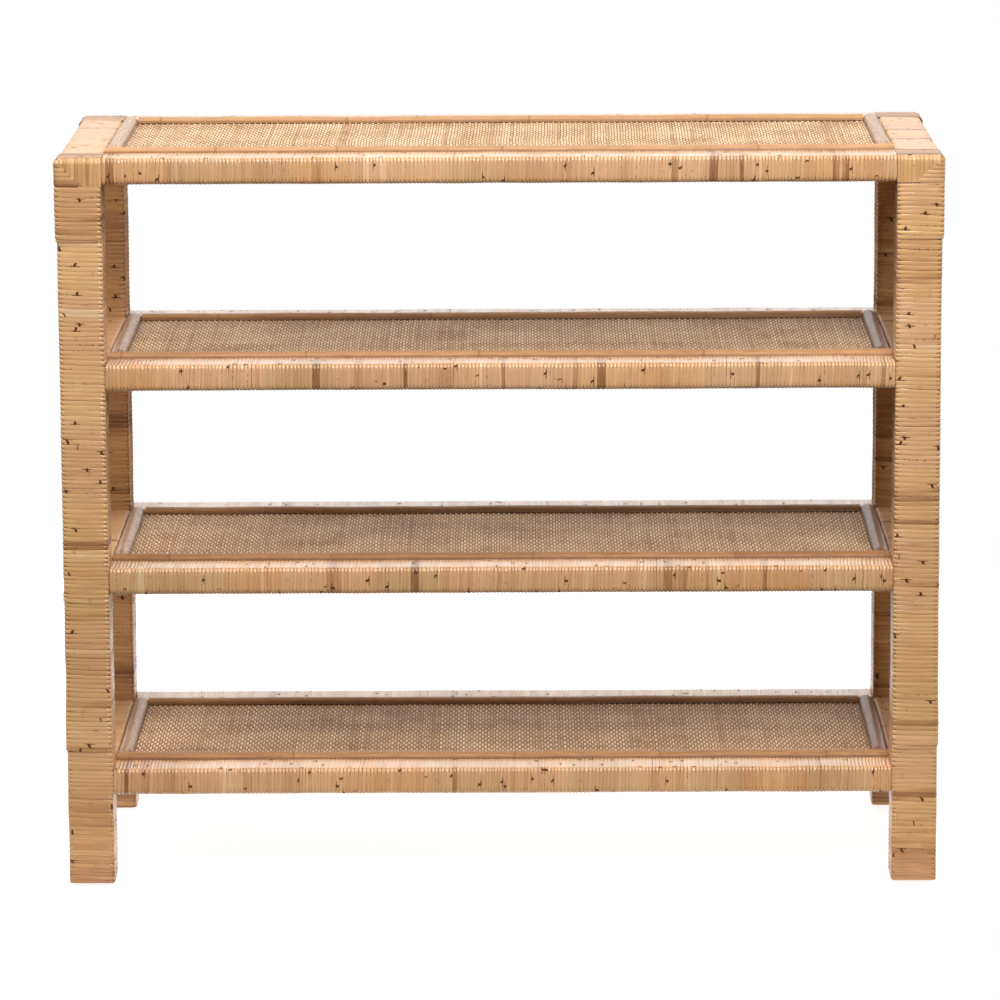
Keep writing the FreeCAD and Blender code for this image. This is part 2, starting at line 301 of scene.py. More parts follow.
def wind(strips, rng, axis, low, high, pitch, shape, ring, dome, looseness, pinch, stains_and_shade=()):
    """One strip wound from low to high along an axis. shape(s, k) gives the point and the normal at a
    place along it for the outline's point k. Each of stains_and_shade is (place, spread, how much darker);
    some are darker strips and some painted shade."""
    _, faces, share, around, curl = ring
    edge_dome = dome[0] * faces[:, 0] ** 2 + dome[1] * faces[:, 1] ** 2 + dome[2] * curl
    turns = max(2, round((high - low) / pitch))
    steps = np.clip(rng.normal(1, 0.13, turns), 0.7, 1.35)
    marks = np.concatenate([[0], np.cumsum(steps)]) / steps.sum() * (high - low) + low
    marks = np.concatenate([[2 * marks[0] - marks[1]], marks, [2 * marks[-1] - marks[-2]]])
    quarters = np.arange(4 * (turns + 3)) / 4 - 1
    loose = np.repeat(rng.random(turns + 3) < looseness, 4)
    gap = -0.00006 + np.where(loose, rng.uniform(-0.0001, 0.0006, len(quarters)).clip(0), 0)
    lift = rng.uniform(-0.00004, 0.00004, turns + 3)
    k = np.tile(np.arange(len(share)), turns + 1)
    x = np.repeat(np.arange(-1, turns), len(share)) + share[k]
    keep = (x > -0.8) & (x < turns - 0.2)
    x, k = x[keep], k[keep]
    phase = 2 * pi * share[k]
    sway = [wander(rng, low, high, step) for step in (0.030, 0.030, 0.045)]
    swell = [wander(rng, low, high, step) for step in (0.040, 0.055)]

    def edge(at):
        s = np.interp(at, np.arange(-1, turns + 2), marks)
        near = fade(np.minimum(s - low, high - s) / 0.012)
        drift = sway[0](s) * np.cos(phase) + sway[1](s) * np.sin(phase)
        return s + SWAY * near * (drift + 0.6 * sway[2](s) * np.cos(2 * phase))

    drawn = pinch * curl[k]
    left = edge(x) + np.interp(x, quarters, gap) / 2 + drawn
    right = edge(x + 1) - np.interp(x + 1, quarters, gap) / 2 - drawn
    left, right = np.clip(left, low, high - STRIP_LEAST), np.clip(right, low + STRIP_LEAST, high)
    right = np.maximum(right, left + STRIP_LEAST)
    s = (left + right) / 2
    spot, normal = shape(s, k)
    bulge = RELIEF * (swell[0](s) * np.cos(phase) + swell[1](s) * np.sin(phase))
    rise = (np.interp(x, np.arange(-1, turns + 2), lift) + bulge)[:, None] - STRIP_DEPTH[None, :]
    rise -= edge_dome[k][:, None] * STRIP_DOME[None, :]
    rise -= SINK + RELIEF * 0.6
    sections = np.empty((len(x), 5, 3))
    others = [i for i in range(3) if i != axis]
    sections[:, :, axis] = s[:, None] + STRIP_ACROSS[None, :] * ((right - left) / 2)[:, None]
    for i, o in enumerate(others):
        sections[:, :, o] = spot[:, i, None] + normal[:, i, None] * rise
    tone = np.interp(x, np.arange(-1, turns + 2, 0.5), strip_tones(rng, 2 * (turns + 3)))
    # Darker stretches: darker strips, and painted shade at the feet and on the back posts.
    for place, spread, amount in stains_and_shade:
        tone = tone - amount * np.exp(-((s - place) / spread) ** 2)
    strips.add(sections, rng.uniform(0, STEM) + (x + 1) * around, tone.clip(0, 1))


def strip_tones(rng, count):
    """Shades along a binding: mostly near the middle, with a few paler or darker stretches."""
    drift = wander(rng, 0, count, 17)(np.arange(count))
    tone = rng.normal(0.55, 0.060, count) + 0.15 * drift
    for i in np.flatnonzero(rng.random(count) < 0.033):
        tone[i:i + rng.integers(1, 5)] += rng.choice((-0.58, -0.46, -0.34, -0.24, 0.3))
    return np.clip(tone, 0, 1)


# ---- materials

def operation(kind, swapped=False):
    """An arithmetic operator of Wire, which adds a Math node."""
    def apply(a, b=0.0):
        return a.graph.math(kind, b, a) if swapped else a.graph.math(kind, a, b)
    return apply


class Wire:
    """A node's output, ready for arithmetic."""

    def __init__(self, graph, socket):
        self.graph, self.socket = graph, socket

    __add__ = __radd__ = operation("ADD")
    __mul__ = __rmul__ = operation("MULTIPLY")
    __sub__, __rsub__ = operation("SUBTRACT"), operation("SUBTRACT", True)
    __truediv__ = operation("DIVIDE")
    __abs__ = operation("ABSOLUTE")


class Graph:
    """A node tree to add to. Sockets take a number, a colour or another node's output."""

    def __init__(self, tree):
        self.tree = tree

    def feed(self, socket, value):
        if isinstance(value, Wire):
            self.tree.links.new(value.socket, socket)
        else:
            socket.default_value = value

    def add(self, kind, inputs=(), out=0, **settings):
        node = self.tree.nodes.new(kind)
        for key, value in settings.items():
            setattr(node, key, value)
        for key, value in dict(inputs).items():
            self.feed(node.inputs[key], value)
        return Wire(self, node.outputs[out])

    def math(self, operation, a, b=0.0, clamp=False):
        return self.add("ShaderNodeMath", {0: a, 1: b}, operation=operation, use_clamp=clamp)

    def blend(self, factor, a, b, how="MIX"):
        b = (*b, 1) if isinstance(b, tuple) else b
        return self.add("ShaderNodeMix", {0: factor, 6: a, 7: b}, 2, data_type="RGBA", blend_type=how)

    def remap(self, value, low, high, to_low=0.0, to_high=1.0, how="SMOOTHSTEP"):
        return self.add("ShaderNodeMapRange", {"Value": value, "From Min": low, "From Max": high,
                                               "To Min": to_low, "To Max": to_high}, interpolation_type=how)

    def vector(self, x, y, z):
        return self.add("ShaderNodeCombineXYZ", {0: x, 1: y, 2: z})

    def split(self, vector):
        node = self.add("ShaderNodeSeparateXYZ", {0: vector}).socket.node
        return [Wire(self, socket) for socket in node.outputs]

    def attribute(self, name, out="Vector"):
        return self.add("ShaderNodeAttribute", (), out, attribute_name=name)

    def position(self):
        return self.add("ShaderNodeTexCoord", (), "Object")

    def noise(self, vector, scale, detail=2.0, roughness=0.5):
        return self.add("ShaderNodeTexNoise", {"Vector": vector, "Scale": scale, "Detail": detail,
                                               "Roughness": roughness})

    def fibres(self, x, y, z, detail, roughness=0.5):
        """Noise stretched by the factors already in its three coordinates."""
        return self.noise(self.vector(x, y, z), 1.0, detail, roughness)

    def cells(self, w, feature="F1", out="Distance"):
        """One-dimensional cells, such as the lengths between the joints of a rattan stem."""
        return self.add("ShaderNodeTexVoronoi", {"W": w, "Scale": 1.0}, out,
                        voronoi_dimensions="1D", feature=feature)

    def ramp(self, value, *stops):
        wire = self.add("ShaderNodeValToRGB", {0: value})
        elements = wire.socket.node.color_ramp.elements
        while len(elements) < len(stops):
            elements.new(0.5)
        for element, (at, colour) in zip(elements, stops):
            element.position = at
            element.color = (*colour, 1)
        return wire


class Paint(Graph):
    """A material with a Principled shader. Its sockets are set by name, with _ for a space."""

    def __init__(self, name, **sockets):
        self.material = bpy.data.materials.new(name)
        self.material.use_nodes = True
        super().__init__(self.material.node_tree)
        self.tree.nodes.clear()
        self.shader = self.tree.nodes.new("ShaderNodeBsdfPrincipled")
        output = self.tree.nodes.new("ShaderNodeOutputMaterial")
        self.tree.links.new(self.shader.outputs[0], output.inputs[0])
        self.set(**sockets)

    def set(self, **sockets):
        for key, value in sockets.items():
            self.feed(self.shader.inputs[key.replace("_", " ")], value)

    def finish(self, colour, roughness, height, depth):
        bump = self.add("ShaderNodeBump", {"Height": height, "Strength": 1.0, "Distance": depth})
        self.set(Base_Color=colour, Roughness=roughness, Normal=bump)
        return self.material


PEEL_JOINTS_PER_METRE = 5.2
STEMS_PER_METRE = 0.36
POLE_JOINTS_PER_METRE = 4.3
PEEL_STOPS = ((0, (0.23, 0.1, 0.04)), (0.16, (0.42, 0.205, 0.085)), (0.34, (0.6, 0.325, 0.145)),
              (0.52, (0.7, 0.4, 0.19)), (0.72, (0.77, 0.465, 0.235)), (1, (0.85, 0.59, 0.35)))
RAIL_CASTS = ((0.1, (1, 0.93, 0.86)), (0.35, (1, 1, 0.94)), (0.6, (0.98, 0.95, 1)),
              (0.85, (0.9, 0.92, 0.9)))
POST_CASTS = ((0.1, (1, 1, 0.88)), (0.35, (0.97, 1, 0.86)), (0.6, (1, 1, 0.96)),
              (0.85, (0.94, 0.92, 0.88)))
CANE_STOPS = ((0, (0.3, 0.13, 0.055)), (0.3, (0.53, 0.295, 0.135)), (0.6, (0.83, 0.585, 0.345)),
              (1, (0.96, 0.78, 0.555)))
POLE_STOPS = ((0.15, (0.3, 0.145, 0.06)), (0.45, (0.52, 0.275, 0.125)), (0.75, (0.68, 0.39, 0.195)),
              (1, (0.8, 0.54, 0.32)))
GREY_STOPS = ((0.15, (0.24, 0.125, 0.07)), (0.45, (0.48, 0.29, 0.175)), (0.75, (0.68, 0.465, 0.315)),
              (1, (0.8, 0.62, 0.47)))


def peel_material(name, casts, gloss):
    """Rattan peel: skin of varying gloss with lengthwise fibres, edges darker partly of their own and
    partly as painted shade in the seams, and a faint ring at each joint, some with a dark mark or a split.
    Each stem's length has its own cast of colour."""
    p = Paint(name, IOR=1.5, Specular_IOR_Level=gloss / 2, Coat_Roughness=0.18)
    along, across, tone = p.split(p.attribute("strip"))
    joints = along * PEEL_JOINTS_PER_METRE
    lot = p.split(p.cells(joints, out="Color"))
    joint = (joints - p.cells(joints, out="W")) / PEEL_JOINTS_PER_METRE
    stem = p.split(p.cells(along * STEMS_PER_METRE, out="Color"))
    fibre = p.fibres(along * 26, across * 2.6, lot[1], 3.0)
    cloud = p.fibres(along * 34, across, lot[2], 2.0)
    shade = p.math("ADD", tone * 0.82 + lot[0] * 0.06, stem[1] * 0.12, True)
    shade = p.math("ADD", shade, (cloud - 0.5) * 0.26, True)
    streak = p.remap(fibre, 0.30, 0.70, 0.87, 1.06)
    colour = p.blend(1.0, p.ramp(shade, *PEEL_STOPS), p.ramp(stem[0], *casts), "MULTIPLY")
    colour = p.blend(1.0, colour, p.vector(streak, streak, streak), "MULTIPLY")

    # A joint: a slanted or hooked dark line across part of the strip, with a slight swelling.
    tilt = p.remap(lot[1], 0.0, 1.0, -0.0012, 0.0012) * across
    hook = p.remap(lot[0], 0.2, 0.8, -0.0016, 0.0016) * (across * across)
    ragged = p.fibres(along * 700, across * 2.2, lot[2], 1.0) - 0.5
    away = abs(joint - (tilt + hook) + ragged * 0.0009)
    aside = abs(across - p.remap(lot[0], 0.0, 1.0, -0.7, 0.7))
    thick = p.remap(aside, 0.80, 1.50, 0.0017, 0.0) * p.remap(lot[2], 0.25, 0.55)
    scar = p.remap(away - thick, -0.00035, 0.0, 1.0, 0.0)
    ring = p.remap(abs(joint), 0.0006, 0.0020, 1.0, 0.0)

    # Frayed specks near the edges, in patches.
    specks = p.fibres(along * 420, across * 1.2, tone, 1.0)
    patches = p.fibres(along * 11, across, lot[1], 1.0)
    fray = p.remap(specks, 0.56, 0.62) * p.remap(patches, 0.60, 0.68) * p.remap(abs(across), 0.62, 0.72)

    # Beside some joints the skin has split lengthways.
    crack = abs(across - p.remap(lot[1], 0.1, 0.9, -0.8, 0.8) + ragged * 0.5)
    crack = p.remap(crack, 0.10, 0.26, 1.0, 0.0) * p.remap(abs(joint), 0.0035, 0.0075, 1.0, 0.0)
    crack = crack * p.remap(lot[2], 0.50, 0.62)

    dark = p.math("MAXIMUM", p.math("MAXIMUM", scar, fray), crack)
    # Darker towards the strip's edges: partly the peel's own edges, partly painted shade in the seams.
    rim = p.remap(abs(across), 0.84, 0.98) * p.remap(lot[1], 0.1, 0.9, 0.12, 0.62)
    colour = p.blend(ring * 0.22, colour, (0.32, 0.15, 0.06))
    colour = p.blend(rim, colour, (0.27, 0.12, 0.04))
    colour = p.blend(dark * 0.97, colour, (0.085, 0.026, 0.007))
    p.set(Coat_Weight=p.math("SUBTRACT", p.remap(lot[2], 0.0, 1.0, gloss, gloss - 0.4), dark, True))
    roughness = p.remap(fibre, 0.2, 0.8, 0.30, 0.48) + dark * 0.5
    return p.finish(colour, roughness, fibre * 0.5 + ring - dark * 1.6, 0.00016)


def cane_material():
    """Woven cane: narrow strands with their own shades, the lower short floats darker as painted shade, and
    painted shade in the gaps where they cross.
    """
    p = Paint("woven_cane", IOR=1.5, Specular_IOR_Level=0.18)
    depth, shade, lengthways = p.split(p.attribute("weave"))
    x, y, z = p.split(p.position())
    run = p.split(p.blend(lengthways, p.vector(x, y, z), p.vector(y, x, z)))
    grain = p.fibres(run[0] * 2400, run[1] * 160, z, 2.0)
    cloud = p.noise(p.position(), 14.0, 3.0)
    tone = p.math("ADD", shade * 0.75 + (cloud - 0.5) * 0.6, (grain - 0.5) * 0.35, True)
    # Darker the deeper a point lies: painted shade in the pits, on the float ends and at the hem.
    colour = p.blend(p.remap(depth, 0.06, 0.62), p.ramp(tone, *CANE_STOPS), (0.10, 0.036, 0.012))
    return p.finish(colour, p.remap(grain, 0.2, 0.8, 0.40, 0.60), grain, 0.00008)


def pole_material(name, stops, streak, gloss):
    """A split rattan pole: bark-like grain along its length and a ring at each joint."""
    p = Paint(name, IOR=1.5, Specular_IOR_Level=0.2 + gloss, Coat_Weight=gloss, Coat_Roughness=0.14)
    along, across, tone = p.split(p.attribute("strip"))
    joints = along * POLE_JOINTS_PER_METRE
    lot = p.split(p.cells(joints, out="Color"))
    grain = p.fibres(along * 28, across * 7, tone, 4.0, 0.6)
    mottle = p.fibres(along * 90, across * 3, lot[0], 3.0)
    shade = lot[0] * 0.10 + grain * 0.72 + (mottle - 0.5) * streak
    # Poles darkened by this attribute: partly their own darker colour, partly painted shade.
    shade = p.math("SUBTRACT", shade, p.attribute("dark_tone_and_shade", "Fac") * 0.45, True)
    ring = p.remap(p.cells(joints, "DISTANCE_TO_EDGE"), 0.003, 0.010, 1.0, 0.0)
    # Darker towards both flanks, where the pole meets the mat: painted shade.
    edge = p.remap(abs(across), 0.82, 1.0)
    colour = p.blend(ring * 0.45, p.ramp(shade, *stops), (0.22, 0.11, 0.05))
    colour = p.blend(edge * 0.6, colour, (0.16, 0.075, 0.03))
    return p.finish(colour, p.remap(grain, 0.25, 0.75, 0.36, 0.55), grain + ring * 1.4, 0.0002)


def wood_material(name, pale, dark, ply=False):
    """Sawn timber or plywood: rings stretched along the grain, pores and a little soiling."""
    p = Paint(name, IOR=1.45)
    x, y, z = p.split(p.position())
    grain = p.fibres(x * 5, y * 46, z * 60, 4.0, 0.6)
    pores = p.fibres(x * 60, y * 900, z * 900, 2.0)
    colour = p.ramp(grain, (0.30, dark), (0.70, pale))
    if ply:
        layer = p.math("SINE", z * 2200)
        colour = p.blend(p.remap(layer, -0.2, 0.2, 0.0, 0.25), colour, dark)
    soil = p.remap(p.noise(p.position(), 9.0, 3.0), 0.45, 0.75, 0.0, 0.35)
    colour = p.blend(soil, colour, dark, "MULTIPLY")
    colour = p.blend(p.remap(pores, 0.60, 0.72, 0.0, 0.4), colour, tuple(c / 2 for c in dark))
    return p.finish(colour, p.remap(pores, 0.3, 0.7, 0.6, 0.8), pores, 0.00015)


def glide_material():
    """Dark moulded plastic, scuffed on the flat that meets the floor."""
    p = Paint("glide_plastic", IOR=1.46)
    height = p.split(p.position())[2]
    scuff = p.noise(p.position(), 1400.0, 3.0)
    mould = p.noise(p.position(), 5200.0, 1.0)
    worn = p.remap(height, 0.0014, 0.0, 0.0, 1.0) * p.remap(scuff, 0.45, 0.65)
    colour = p.ramp(scuff, (0.3, (0.070, 0.058, 0.050)), (0.8, (0.110, 0.094, 0.082)))
    colour = p.blend(worn * 0.6, colour, (0.30, 0.28, 0.26))
    return p.finish(colour, p.remap(scuff, 0.3, 0.7, 0.36, 0.55), mould, 0.00003)


def steel_material():
    """Bright drawn wire, dulled a little in patches."""
    p = Paint("steel", Metallic=1.0)
    dull = p.noise(p.position(), 900.0, 3.0)
    colour = p.ramp(dull, (0.3, (0.34, 0.30, 0.25)), (0.7, (0.56, 0.53, 0.48)))
    return p.finish(colour, p.remap(dull, 0.3, 0.7, 0.28, 0.5), dull, 0.00003)


def floor_material():
    """A pale matt floor that also glows."""
    p = Paint("floor", IOR=1.4, Emission_Color=(1, 1, 1, 1), Emission_Strength=FLOOR_GLOW)
    mottle = p.noise(p.position(), 1.3, 2.0)
    colour = p.ramp(mottle, (0.2, (0.38, 0.38, 0.38)), (0.8, (0.42, 0.42, 0.42)))
    return p.finish(colour, 0.9, mottle, 0.0001)


RAIL_PEEL = peel_material("rattan_peel_rail", RAIL_CASTS, 1.0)
POST_PEEL = peel_material("rattan_peel_post", POST_CASTS, 0.56)
CANE = cane_material()
POLE = pole_material("split_pole", POLE_STOPS, 0.25, 0.02)
POLE_GREY = pole_material("split_pole_grey", GREY_STOPS, 0.7, 0.2)
BED = wood_material("bed", (0.40, 0.21, 0.09), (0.26, 0.12, 0.05))
TIMBER = wood_material("timber", (0.42, 0.27, 0.15), (0.24, 0.135, 0.065))
PLYWOOD = wood_material("plywood", (0.58, 0.42, 0.26), (0.40, 0.26, 0.14), ply=True)
STEEL = steel_material()
GLIDE = glide_material()


# ---- bound rails

def make_rail(tier, side):
    """One strip wound round a rail from end to end."""
    name = f"rail_wrap_{tier}_{side}"
    low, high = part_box(name)
    axis = 0 if side in SIDES_Y else 1
    across = 1 - axis
    half = ((high[across] - low[across]) / 2, (high[2] - low[2]) / 2)
    middle = np.array(((high[across] + low[across]) / 2, (high[2] + low[2]) / 2))
    ring = outline(*half, BEND_RADIUS)
    rng = generator(name)
    strips = Strips()
    wind(strips, rng, axis, low[axis], high[axis], RAIL_PITCH,
         lambda s, k: (middle + ring[0][k], ring[1][k]), ring, SIDE_DOME if axis else RAIL_DOME,
         RAIL_LOOSE, RAIL_PINCH)
    return strips.finish(f"binding_{tier}_{side}", RAIL_PEEL, name)


# ---- bound posts

def make_post(side_y, side_x):
    """A post's binding: a plain layer, a second layer at its head and the laced corner of the top."""
    sx, sy = SIDES_X[side_x], SIDES_Y[side_y]
    node = f"post_wrap_{side_y}_{side_x}"
    low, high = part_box(node)
    outer = np.array((low.x if sx < 0 else high.x, low.y if sy < 0 else high.y))
    inner = np.array((high.x if sx < 0 else low.x, high.y if sy < 0 else low.y))
    sign = np.array((sx, sy))
    plain = outer - sign * COLLAR_BUILD
    centre = (plain + inner) / 2
    half = abs(plain[0] - inner[0]) / 2
    rails = [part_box(f"rail_wrap_{tier}_{side_x}") for tier in TIERS]
    top, shoulder = high.z, rails[0][0].z
    bend = outline(half, half, POST_BEND)
    tight = outline(half, half, TIGHT_RADIUS)
    outer_side = bend[0] * sign > half * 0.5
    joined = ~(outer_side[:, 0] & outer_side[:, 1])

    def squareness(s):
        weight = np.zeros(len(s))
        for rail_low, rail_high in rails:
            inside = np.minimum(s - rail_low.z, rail_high.z - s)
            weight = np.maximum(weight, fade((inside + 0.0015) / 0.002))
        return weight

    def stand_out(s):
        """How far the plain layer stands out: splayed a little downwards, thicker over the lowest shelf,
        and on the left with a knuckle under the middle one."""
        splay = SPLAY * fade((0.60 - s) / 0.35)
        thick = FLARE[side_x] * fade((0.255 - s) / 0.085) * fade((s - 0.1605) / 0.004)
        knuckle = KNUCKLE * (sx < 0) * fade((s - 0.333) / 0.004) * fade((0.347 - s) / 0.004)
        return np.minimum(splay + thick + knuckle, COLLAR_BUILD)

    def shape(build):
        def at(s, k):
            weight = (squareness(s) * joined[k])[:, None]
            spot = bend[0][k] * (1 - weight) + tight[0][k] * weight
            normal = bend[1][k] * (1 - weight) + tight[1][k] * weight
            return centre + spot + sign * outer_side[k] * build(s)[:, None], normal
        return at

    rng = generator(node)
    strips = Strips()
    collar_foot = top - COLLAR_HEIGHT
    # Painted shade at every foot and over the back posts; darker strips in a band low on the front right
    # post.
    stains_and_shade = [FOOT_PAINTED_SHADE] + [BAND_STAIN] * (sx > 0 > sy) + [BACK_PAINTED_SHADE] * (sy > 0)

    def collar(s):
        return COLLAR_BUILD - 0.0009 * fade((collar_foot + 0.005 - s) / 0.005)

    wind(strips, rng, 2, low.z, collar_foot + 0.001, POST_PITCH, shape(stand_out), bend, POST_DOME,
         POST_LOOSE, POST_PINCH, stains_and_shade)
    wind(strips, rng, 2, collar_foot, shoulder - 0.0004, POST_PITCH, shape(collar), bend, POST_DOME,
         POST_LOOSE, POST_PINCH)
    lace_corner(strips, rng, outer, inner, sign, top, shoulder)
    return strips.finish(f"binding_post_{side_y}_{side_x}", POST_PEEL, node)


def lace_corner(strips, rng, outer, inner, sign, top, shoulder):
    """The corner of the top: upright strips stepped along a diagonal against level strips.
    Those of the side face run on across the top; those of the front face are tucked under them."""
    rise = top - shoulder
    stepped = abs(outer[0] - inner[0]) - STEP_FULL
    radius = LACE_RADIUS
    arc = np.linspace(0, pi / 2, 6)

    def diagonal(distance):
        return top - rise * np.clip(distance / stepped, 0.12, 1)

    def tucked(depth):
        """How far a rounded edge has drawn in at a depth from the flat it rounds off."""
        open_part = min(max(radius - depth, 0), radius)
        return radius - sqrt(radius ** 2 - open_part ** 2)

    def upright(face, distance, width, reach, lift, dip):
        """A strip up one outer face (0: side, 1: front) and over its top edge, back as far as reach."""
        out, across, base = np.zeros((3, 3))
        out[face] = sign[face]
        across[1 - face] = 1
        foot = shoulder + 0.0002
        if distance < stepped:
            foot = max(diagonal(distance) - 0.0035, foot)
        inset = tucked(distance)
        bow = radius - min(inset, radius * 0.7)
        base[face] = outer[face] - sign[face] * (0.0004 + inset)
        base[1 - face] = outer[1 - face] - sign[1 - face] * distance
        points, normals = [], []
        crown = top - inset
        for z in np.linspace(min(foot, crown - bow - 0.001), crown - bow, 4):
            points.append(base + (0, 0, z))
            normals.append(out)
        for turn in arc[1:]:
            normal = out * cos(turn) + np.array((0, 0, sin(turn)))
            points.append(base - out * bow + normal * bow + (0, 0, crown - bow))
            normals.append(normal)
        for t in np.linspace(0.25, 1, 4):
            points.append(base - out * (bow + (reach - bow) * t) + (0, 0, crown - dip * t))
            normals.append((0, 0, 1))
        # Strips that cross the top are made darker: painted shade against the light on the top.
        strips.lay(rng, points, normals, across, width, shade() - (0.0 if face else CORNER_PAINTED_SHADE), lift)

    # The lacing's tone is lower than the rest of the binding's: partly its own darker colour, partly
    # painted shade.
    def shade():
        return float(np.clip(rng.normal(0.37, 0.09), 0.05, 1))

    breadth = abs(outer[0] - inner[0])
    for face, reach, first, dip in ((1, TAIL, 0.0055, 0.0009), (0, breadth - 0.0006, TAIL + 0.0016, 0.0)):
        span = breadth - first
        count = round(span / CORNER_PITCH)
        cuts = first + np.concatenate([[0], np.cumsum(np.clip(rng.normal(1, 0.1, count), 0.8, 1.2))])
        cuts = first + (cuts - first) / (cuts[-1] - first) * span
        for a, b in zip(cuts[:-1], cuts[1:]):
            length = reach + rng.uniform(-0.0007, 0.0007) if face else reach
            upright(face, (a + b) / 2, (b - a) - 0.00006, length, rng.uniform(-0.00008, 0.00008), dip)

    level = shoulder + 0.0002
    while level < top - 0.0050:
        width = POST_PITCH * rng.uniform(0.82, 1.0)
        middle = level + width / 2
        open_share = (top - middle) / rise
        front = max(0.0045, stepped * open_share - 0.0022)
        side = max(TAIL + 0.0010, stepped * open_share - 0.0022)
        points, normals = [], []
        inset = tucked(top - middle)
        lean = asin(min(max(radius - (top - middle), 0) / radius, 0.9))
        corner = outer - sign * radius
        for d in np.linspace(max(front, radius), radius, 3)[:-1]:
            points.append((outer[0] - sign[0] * d, outer[1] - sign[1] * inset, middle))
            normals.append(np.array((0, sign[1], 0)))
        for turn in arc:
            normal = sign * (sin(turn), cos(turn))
            points.append((*(corner + normal * (radius - inset)), middle))
            normals.append(np.array((*normal, 0)))
        for d in np.linspace(radius, max(side, radius), 3)[1:]:
            points.append((outer[0] - sign[0] * inset, outer[1] - sign[1] * d, middle))
            normals.append(np.array((sign[0], 0, 0)))
        upward, normals = np.array((0, 0, 1)), np.array(normals, float)
        strips.lay(rng, points, normals * cos(lean) + upward * sin(lean),
                   upward * cos(lean) - normals * sin(lean), width - 0.00008, shade(),
                   rng.uniform(-0.00015, 0))
        level += width


def make_bed(side_y, side_x):
    """The rounded padding under a laced corner, seen only through the gaps between its strips."""
    sx, sy = SIDES_X[side_x], SIDES_Y[side_y]
    low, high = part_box(f"post_wrap_{side_y}_{side_x}")
    inset = 0.0010
    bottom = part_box(f"rail_wrap_top_{side_x}")[0].z - 0.004
    low = Vector((low.x + inset * (sx < 0), low.y + inset * (sy < 0), bottom))
    high = Vector((high.x - inset * (sx > 0), high.y - inset * (sy > 0), high.z - inset))
    half = (high - low) / 2
    spots = outline(half.x, half.y, BEND_RADIUS)[0]
    rings = [np.column_stack([spots, np.full(len(spots), low.z)])]
    for turn in np.linspace(0, pi / 2, 5):
        scale = 1 - BEND_RADIUS * (1 - cos(turn)) / np.array((half.x, half.y))
        z = high.z - BEND_RADIUS * (1 - sin(turn))
        rings.append(np.column_stack([spots * scale, np.full(len(spots), z)]))
    points = np.concatenate(rings)
    points[:, :2] += np.array(((low.x + high.x) / 2, (low.y + high.y) / 2))
    n = len(spots)
    i, j = loop_of(n)
    levels = n * np.arange(len(rings))
    walls = np.concatenate([faces_of(r + j, r + i, r + n + i, r + n + j) for r in levels[:-1]])
    caps = np.array([i, levels[-1] + i[::-1]])
    faces = [(walls, True), (caps, False)]
    return make_piece(f"corner_bed_{side_y}_{side_x}", points, faces, BED)


# ---- woven shelves

